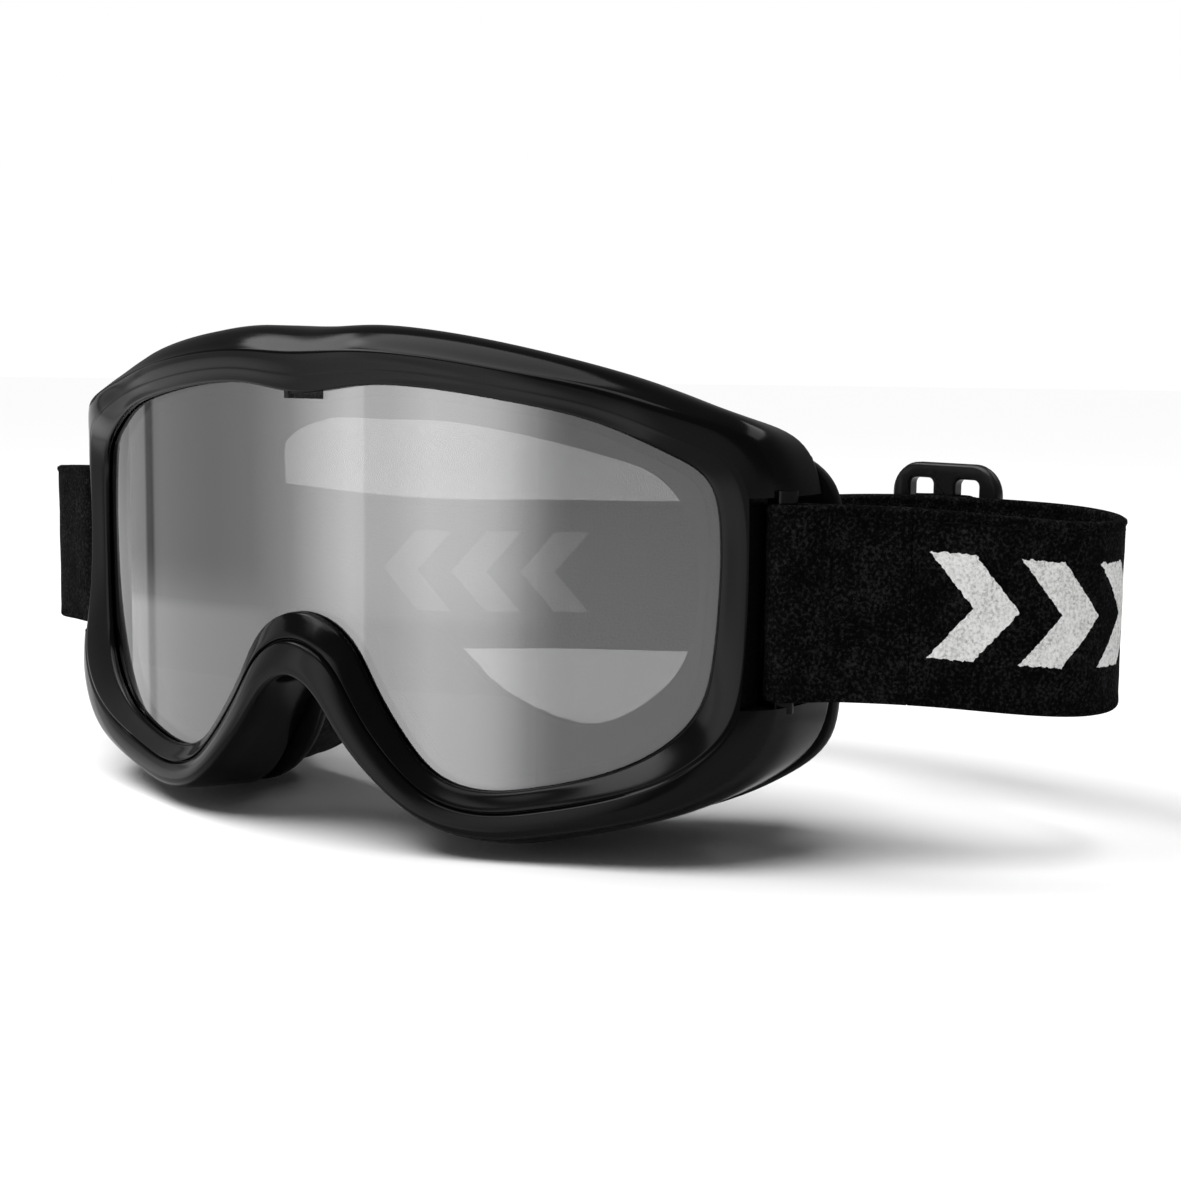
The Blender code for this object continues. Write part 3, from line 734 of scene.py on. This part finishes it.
def strap_at(length, off=0.0):
    """The strap's middle line at a length from the near post, moved out of the curve by off."""
    at = np.array([np.interp(length, RUN, LINE[:, k]) for k in range(3)])
    ahead = np.array([np.interp(length + 0.6, RUN, LINE[:, k]) for k in range(2)])
    behind = np.array([np.interp(length - 0.6, RUN, LINE[:, k]) for k in range(2)])
    way = (ahead - behind) / np.linalg.norm(ahead - behind)
    return np.array([at[0] + way[1] * off, at[1] - way[0] * off, at[2]])


def profile():
    """Half-thickness round the strap's cross-section: V across, W out of the face."""
    t = STRAP_THICK / 2
    face = np.linspace(-17.6, 17.2, 23)
    pts = [(v, t) for v in face]
    pts += [(17.5, t + 0.1), (17.9, t + 0.28), (18.5, t + 0.2), (18.9, 0.35), (18.98, 0.0),
            (18.9, -0.35), (18.5, -t - 0.2), (17.9, -t - 0.28), (17.5, -t - 0.1)]
    pts += [(v, -t) for v in face[::-1]]
    pts += [(-18.3, -t), (-18.8, -t * 0.6), (-18.95, 0.0), (-18.8, t * 0.6), (-18.3, t)]
    return pts


PROFILE = profile()
STEP = 0.45


def band(name, middle, lengths, mat):
    """A strap along a line of points, with a bound top edge and a ribbed bottom edge."""
    pts = np.array(middle, float)
    way = np.gradient(pts[:, :2], axis=0)
    way /= np.linalg.norm(way, axis=1)[:, None]
    side = np.stack([way[:, 1], -way[:, 0]], axis=1)
    rng = np.random.default_rng(11)
    sections, uvs = [], []
    for i, (p, s) in enumerate(zip(pts, side)):
        u = lengths[i]
        sec = []
        for v, w in PROFILE:
            lift = w
            if v > 17.3:
                lift *= 1.0 + 0.10 * math.sin(u * 4.2)
            elif v < -17.4:
                lift *= 1.0 + 0.22 * math.sin(u * 5.4)
            else:
                lift += 0.05 * math.sin(u * 0.9 + v * 0.45) + rng.normal() * 0.018
            sec.append(np.array([p[0] + s[0] * lift, p[1] + s[1] * lift, p[2] + v]))
            uvs.append((u * MM, v * MM))
        sections.append(sec)
    return loft(name, sections, mat, closed=False, sharp=60, uvs=uvs)


def run_band(name, first, last, off, mat):
    count = int((last - first) / STEP) + 1
    lengths = np.linspace(first, last, count)
    return band(name, [strap_at(u, off) for u in lengths], lengths, mat)


def fold_line(side, end, inner_off, outer_off):
    """The folded end: in along one ply, round the post and back along the other."""
    centre = np.array([side * POST[0], POST[1]])
    reads = np.linspace(end, 2.5, 60)
    if side < 0:
        reads = TOTAL - reads
    lead = [strap_at(u, inner_off) for u in reads]
    back = [strap_at(u, outer_off) for u in reads[::-1]]
    a, b = lead[-1][:2] - centre, back[0][:2] - centre
    start, stop = math.atan2(a[1], a[0]), math.atan2(b[1], b[0])
    if side > 0:
        stop += 2 * math.pi if stop < start else 0.0
    else:
        start += 2 * math.pi if start < 0 else 0.0
        stop -= 2 * math.pi if stop > start else 0.0
    turn = []
    for share in np.linspace(0.14, 0.86, 40):
        ang = start + (stop - start) * share
        turn.append(np.array([centre[0] + 3.35 * math.cos(ang), centre[1] + 3.35 * math.sin(ang), 0]))
    line = np.array(lead + turn + back)
    for _ in range(30):
        line[1:-1] = line[1:-1] * 0.5 + (line[:-2] + line[2:]) * 0.25
    reach = np.concatenate([[0.0], np.cumsum(np.linalg.norm(np.diff(line, axis=0), axis=1))])
    even = np.linspace(0, reach[-1], int(reach[-1] / STEP))
    return np.stack([np.interp(even, reach, line[:, k]) for k in range(3)], axis=1), even, reach[-1]


def finish_strap(obj, body, node):
    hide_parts(node)
    if body:
        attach(obj, body)


line, even, length = fold_line(1, NEAR_SEAM - 0.1, -PLY, 0.0)
loop_near = band("strap_fold_near", line, even - length + NEAR_SEAM, knit_plain)
line, even, length = fold_line(-1, NEAR_SEAM - 0.1, 0.0, PLY)
loop_far = band("strap_fold_far", line, even, knit_plain)
main = run_band("strap_band", NEAR_SEAM + 0.1, TOTAL - NEAR_SEAM, 0.0, knit)
adjuster = run_band("strap_adjuster_band", SLIDER_AT - TAIL_UNDER, TOTAL - NEAR_SEAM, PLY, knit)
finish_strap(loop_near, None, "strap_loop_near")
finish_strap(loop_far, None, "strap_loop_far")
finish_strap(main, "strap", "strap_main")
finish_strap(adjuster, "strap", "strap_adjuster")

# The slider's own place and ways: along the strap, out of its curve, and up.
AT = strap_at(SLIDER_AT)
WAY = strap_at(SLIDER_AT + 8.0) - strap_at(SLIDER_AT - 8.0)
WAY[2] = 0.0
WAY /= np.linalg.norm(WAY)
OUT = np.array([WAY[1], -WAY[0], 0.0])


def on_slider(along, off, z):
    p = AT + WAY * along + OUT * off
    return np.array([p[0], p[1], p[2] + z])


# The strap over the middle bar, seen from above: along, out.
HUMP = [(-8.1, 3.7), (-6.6, 4.5), (-4.6, 6.65), (-2.4, 7.05), (2.4, 7.05), (4.6, 6.65),
        (6.6, 4.5), (8.1, 3.7)]
bow = open_spline([(a, o, 0.0) for a, o in HUMP], 48)
hump = band("strap_over_bar", [on_slider(a, o, 0.0) for a, o, _ in bow],
            SLIDER_AT + bow[:, 0], knit_plain)
finish_strap(hump, "slider", "strap_hump")


def plate_ring(half_long, half_tall, radius, count=10):
    """A rectangle with round corners."""
    ring = []
    for quarter, (sx, sz) in enumerate(((1, 1), (-1, 1), (-1, -1), (1, -1))):
        for k in range(count):
            turn = math.pi / 2 * (quarter + k / (count - 1))
            ring.append((sx * (half_long - radius) + radius * math.cos(turn),
                         sz * (half_tall - radius) + radius * math.sin(turn)))
    return ring


def slider_plate():
    """Three bars with rounded edges: an outer ring lofted round, less two slots."""
    rings = []
    for inset, off in ((0.9, 3.0), (0.25, 3.25), (0.0, 3.9), (0.0, 5.1), (0.25, 5.75), (0.9, 6.0)):
        ring = plate_ring(SLIDER_HALF[0] - inset, SLIDER_HALF[1] - inset, SLIDER_CORNER - inset)
        rings.append([on_slider(a, off, z) for a, z in ring])
    body = loft("slider_frame", rings, acetal, closed=False, sharp=50)
    for sign in (-1, 1):
        ring = [(sign * SLIDER_SLOT_AT + a, z) for a, z in plate_ring(*SLIDER_SLOT_HALF, 1.5)]
        n = len(ring)
        verts = [on_slider(a, 0.5, z) for a, z in ring] + [on_slider(a, 8.5, z) for a, z in ring]
        faces = [tuple(range(n)), tuple(range(n, 2 * n))]
        faces += [(i, (i + 1) % n, n + (i + 1) % n, n + i) for i in range(n)]
        apply_boolean(body, new_mesh("cutter", verts, faces, acetal))
    bevel = body.modifiers.new("round", "BEVEL")
    bevel.width = 0.00045
    bevel.segments = 3
    bevel.limit_method = "ANGLE"
    bevel.angle_limit = math.radians(50)
    return body


slider = slider_plate()
slider.data.set_sharp_from_angle(angle=math.radians(50))
finish_strap(slider, "slider", "slider_buckle")


def stitches(name, reads, v, off, pitch=3.4, long=2.3):
    """A row of short thread dashes lying on a strap face."""
    verts, faces = [], []
    steps = 4
    u = reads[0]
    while u + long < reads[1]:
        base = len(verts)
        for k in range(steps + 1):
            t = k / steps
            p = strap_at(u + long * t, off + 0.14 * math.sin(math.pi * t) * np.sign(off))
            q = strap_at(u + long * t, off - 0.25 * np.sign(off))
            thick = 0.2 * math.sin(math.pi * (0.12 + 0.76 * t))
            for point, rise in ((p, thick), (p, -thick), (q, -thick), (q, thick)):
                verts.append(np.array([point[0], point[1], point[2] + v + rise]))
        for k in range(steps):
            for e in range(4):
                g = (e + 1) % 4
                faces.append((base + k * 4 + e, base + k * 4 + 4 + e, base + k * 4 + 4 + g,
                              base + k * 4 + g))
        faces.append(tuple(base + e for e in range(4)))
        faces.append(tuple(base + steps * 4 + e for e in (3, 2, 1, 0)))
        u += pitch
    return new_mesh(name, verts, faces, thread)


face = STRAP_THICK / 2 + 0.02
rows = [
    ("stitch_main_outside", (NEAR_SEAM + 2.5, TOTAL - NEAR_SEAM - 2.0), face),
    ("stitch_main_inside", (NEAR_SEAM + 2.5, TOTAL - NEAR_SEAM - 2.0), -face),
    ("stitch_adjuster_outside", (SLIDER_AT + 16, TOTAL - NEAR_SEAM - 2.0), PLY + face),
]
for name, reads, off in rows:
    made = stitches(name, reads, STITCH_V, off)
    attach(made, "strap")
near_rows = stitches("stitch_fold_near", (2.5, NEAR_SEAM - 0.5), STITCH_V, face)


def seam_block(name, first, inner_off, node):
    """The sewn bar over both plies, with a crease and a zigzag of thread on each side."""
    count = 9
    reads = np.linspace(first - 0.35, first + SEAM_LONG + 0.35, count)
    mid = inner_off + PLY / 2
    sections, uvs = [], []
    half_thick = (STRAP_THICK * 2 + GAP) / 2
    for u in reads:
        t = (u - first - SEAM_LONG / 2) / (SEAM_LONG / 2 + 0.35)
        pinch = 1.0 - 0.22 * (1 - t * t)
        sec = []
        for v, w in PROFILE:
            share = w / (STRAP_THICK / 2)
            p = strap_at(u, mid + share * half_thick * pinch)
            sec.append(np.array([p[0], p[1], p[2] + v]))
            uvs.append((u * MM, v * MM))
        sections.append(sec)
    made = loft(name, sections, knit_plain, closed=False, sharp=60, uvs=uvs)
    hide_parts(node)
    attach(made, "strap")
    verts, faces = [], []
    for side in (1, -1):
        z = -17.5
        flip = 1
        while z < 17.0:
            base = len(verts)
            for k in range(3):
                t = k / 2
                u = first + SEAM_LONG / 2 + flip * (t - 0.5) * 1.1
                for du, dz in ((-0.16, -0.16), (0.16, -0.16), (0.16, 0.16), (-0.16, 0.16)):
                    p = strap_at(u + du, mid + side * (half_thick * 0.8 + 0.12 * math.sin(math.pi * t)))
                    verts.append(np.array([p[0], p[1], p[2] + z + t * 0.75 + dz]))
            for k in range(2):
                for e in range(4):
                    g = (e + 1) % 4
                    faces.append((base + k * 4 + e, base + k * 4 + 4 + e, base + k * 4 + 4 + g,
                                  base + k * 4 + g))
            faces.append(tuple(base + e for e in range(4)))
            faces.append(tuple(base + 8 + e for e in (3, 2, 1, 0)))
            z += 0.85
            flip = -flip
    zig = new_mesh(name + "_thread", verts, faces, thread)
    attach(zig, "strap")
    return made


seam_block("strap_seam_near_sewn", NEAR_SEAM, -PLY, "strap_seam_near")
seam_block("strap_seam_far_sewn", END_SEAM, 0.0, "strap_seam_far")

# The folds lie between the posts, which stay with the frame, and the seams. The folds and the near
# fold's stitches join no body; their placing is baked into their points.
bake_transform(loop_near)
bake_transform(near_rows)
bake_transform(loop_far)

# ------------------------------------------------------------------ stage

low = min(CAD_BOX[0].z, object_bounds()[0].z)
ground = Mat("pale_floor", (0.92, 0.92, 0.92), 0.8, Specular_IOR_Level=0.1)
bpy.ops.mesh.primitive_circle_add(vertices=96, radius=9.0, fill_type="NGON",
                                  location=(0, 0, low - 0.0006))
floor = bpy.context.object
floor.name = "floor"
floor.data.materials.append(ground.mat)

world = bpy.data.worlds.new("studio")
world.use_nodes = True
sky = world.node_tree
sky.nodes["Background"].inputs["Color"].default_value = (1, 1, 1, 1)
rays = sky.nodes.new("ShaderNodeLightPath")
level = sky.nodes.new("ShaderNodeMapRange")
level.inputs["To Min"].default_value = 0.16
level.inputs["To Max"].default_value = 1.0
sky.links.new(rays.outputs["Is Camera Ray"], level.inputs["Value"])
sky.links.new(level.outputs["Result"], sky.nodes["Background"].inputs["Strength"])
bpy.context.scene.world = world
bpy.context.scene.view_settings.view_transform = "Standard"


def towards(azimuth, elevation):
    """The way to a viewer or lamp: azimuth from the front, turning to the wearer's left."""
    a, e = math.radians(azimuth), math.radians(elevation)
    return Vector((math.sin(a) * math.cos(e), -math.cos(a) * math.cos(e), math.sin(e)))


def lamp(name, kind, azimuth, elevation, distance, power, **values):
    """A soft light aimed at the goggles."""
    light = bpy.data.lights.new(name, kind)
    light.energy = power
    for key, value in values.items():
        setattr(light, key, value)
    obj = bpy.data.objects.new(name, light)
    bpy.context.scene.collection.objects.link(obj)
    back = towards(azimuth, elevation)
    obj.location = Vector((0, -0.02, 0)) + back * distance
    obj.rotation_mode = "QUATERNION"
    obj.rotation_quaternion = back.to_track_quat("Z", "Y")


lamp("sky_soft", "SUN", -40.0, 72.0, 2.0, 3.1, angle=math.radians(55.0))
lamp("top_left", "AREA", -58.0, 56.0, 0.9, 3.2, shape="RECTANGLE", size=0.9, size_y=0.2)
lamp("rear_top", "AREA", 150.0, 38.0, 1.1, 1.1, shape="RECTANGLE", size=0.7, size_y=0.2)

# Brightness along the reflector, left to right: once for its upper part and once for its foot.
UPPER = [(0.0, 0.26), (0.071, 0.26), (0.081, 0.07), (0.102, 0.07), (0.115, 0.26), (0.3, 0.26),
         (0.4, 0.305), (0.49, 0.465), (0.53, 0.655), (0.57, 0.84), (0.61, 1.0), (0.637, 0.97),
         (0.643, 0.78), (0.69, 0.8), (0.76, 1.0), (0.83, 0.94), (0.867, 0.85), (0.898, 0.69),
         (0.929, 0.48), (0.965, 0.345), (1.0, 0.28)]
FOOT = [(0.0, 0.5), (0.071, 0.5), (0.085, 0.3), (0.1, 0.3), (0.115, 0.48), (0.4, 0.46),
        (0.45, 0.42), (0.53, 0.6), (0.61, 0.85), (0.637, 0.85), (0.643, 0.68), (0.69, 0.7),
        (0.76, 0.86), (0.83, 0.8), (0.867, 0.72), (0.898, 0.58), (0.929, 0.4), (1.0, 0.25)]
# The reflector's profile: reach in front of the lens, height over its lower edge.
RISE = ((26.0, 0.0), (90.0, 0.0), (176.0, 0.0), (196.0, 20.0), (197.0, 100.0), (198.0, 170.0))
FLAT_STEPS = 2
TURNS = 73
TURN_FROM, TURN_OVER = -100.0, 113.0


def reflector_material():
    glow = Mat("reflector", (0, 0, 0), 1.0)
    where = glow.node("ShaderNodeSeparateXYZ")
    glow.link(glow.place("UV"), where.inputs["Vector"])
    upper = glow.ramp(where.outputs["X"], UPPER)
    foot = glow.ramp(where.outputs["X"], FOOT)
    rise = glow.node("ShaderNodeMapRange", interpolation_type="SMOOTHSTEP")
    rise.inputs["From Min"].default_value = 0.26
    rise.inputs["From Max"].default_value = 0.4
    glow.link(where.outputs["Y"], rise.inputs["Value"])
    glow.to(glow.mix(rise.outputs["Result"], foot, upper), "Emission Color")
    glow.bsdf.inputs["Emission Strength"].default_value = 4.6
    glow.to(glow.ramp(where.outputs["X"], [(0.94, 1.0), (1.0, 0.0)]), "Alpha")
    return glow.mat


def reflector():
    """A bright curved card in front of the goggles, which shows only by reflection."""
    spots, marks, quads = [], [], []
    base = low / MM + 0.8
    for step, (reach, tall) in enumerate(RISE):
        for k in range(TURNS):
            turn = math.radians(TURN_FROM + TURN_OVER * k / (TURNS - 1))
            seat = wrap(max(45.2 + math.degrees(turn) * 1.08, -66.0), 0.0, 0.0)
            spots.append((seat[0] + reach * math.sin(turn), seat[1] - reach * math.cos(turn),
                          base + tall))
            marks.append((k / (TURNS - 1), max(step - FLAT_STEPS, 0) / 3))
    for r in range(len(RISE) - 1):
        quads += [(r * TURNS + k, r * TURNS + k + 1, (r + 1) * TURNS + k + 1, (r + 1) * TURNS + k)
                  for k in range(TURNS - 1)]
    card = new_mesh("reflector_card", spots, quads, reflector_material(), uvs=marks)
    card.visible_camera = False
    card.visible_diffuse = False
    card.visible_shadow = False
    return card


reflector()

# ------------------------------------------------------------------ camera

FOCAL_PIXELS = 1900.0
IMAGE = 1181.0
SENSOR = 36.0
AZIMUTH, ELEVATION = 32.56, 6.82
CAMERA_AT = (0.2553, -0.3518, 0.0450)
roll = math.radians(0.68)
back = towards(AZIMUTH, ELEVATION)
right = Vector((math.cos(math.radians(AZIMUTH)), math.sin(math.radians(AZIMUTH)), 0.0))
up = back.cross(right)
side_axis = right * math.cos(roll) + up * math.sin(roll)
up_axis = up * math.cos(roll) - right * math.sin(roll)
camera_data = bpy.data.cameras.new("camera")
camera_data.lens = FOCAL_PIXELS / IMAGE * SENSOR
camera_data.sensor_width = SENSOR
camera_data.clip_start = 0.01
camera_data.clip_end = 50.0
camera = bpy.data.objects.new("camera", camera_data)
bpy.context.scene.collection.objects.link(camera)
camera.matrix_world = Matrix.Translation(CAMERA_AT) @ Matrix(
    (side_axis, up_axis, back)).transposed().to_4x4()
bpy.context.scene.camera = camera
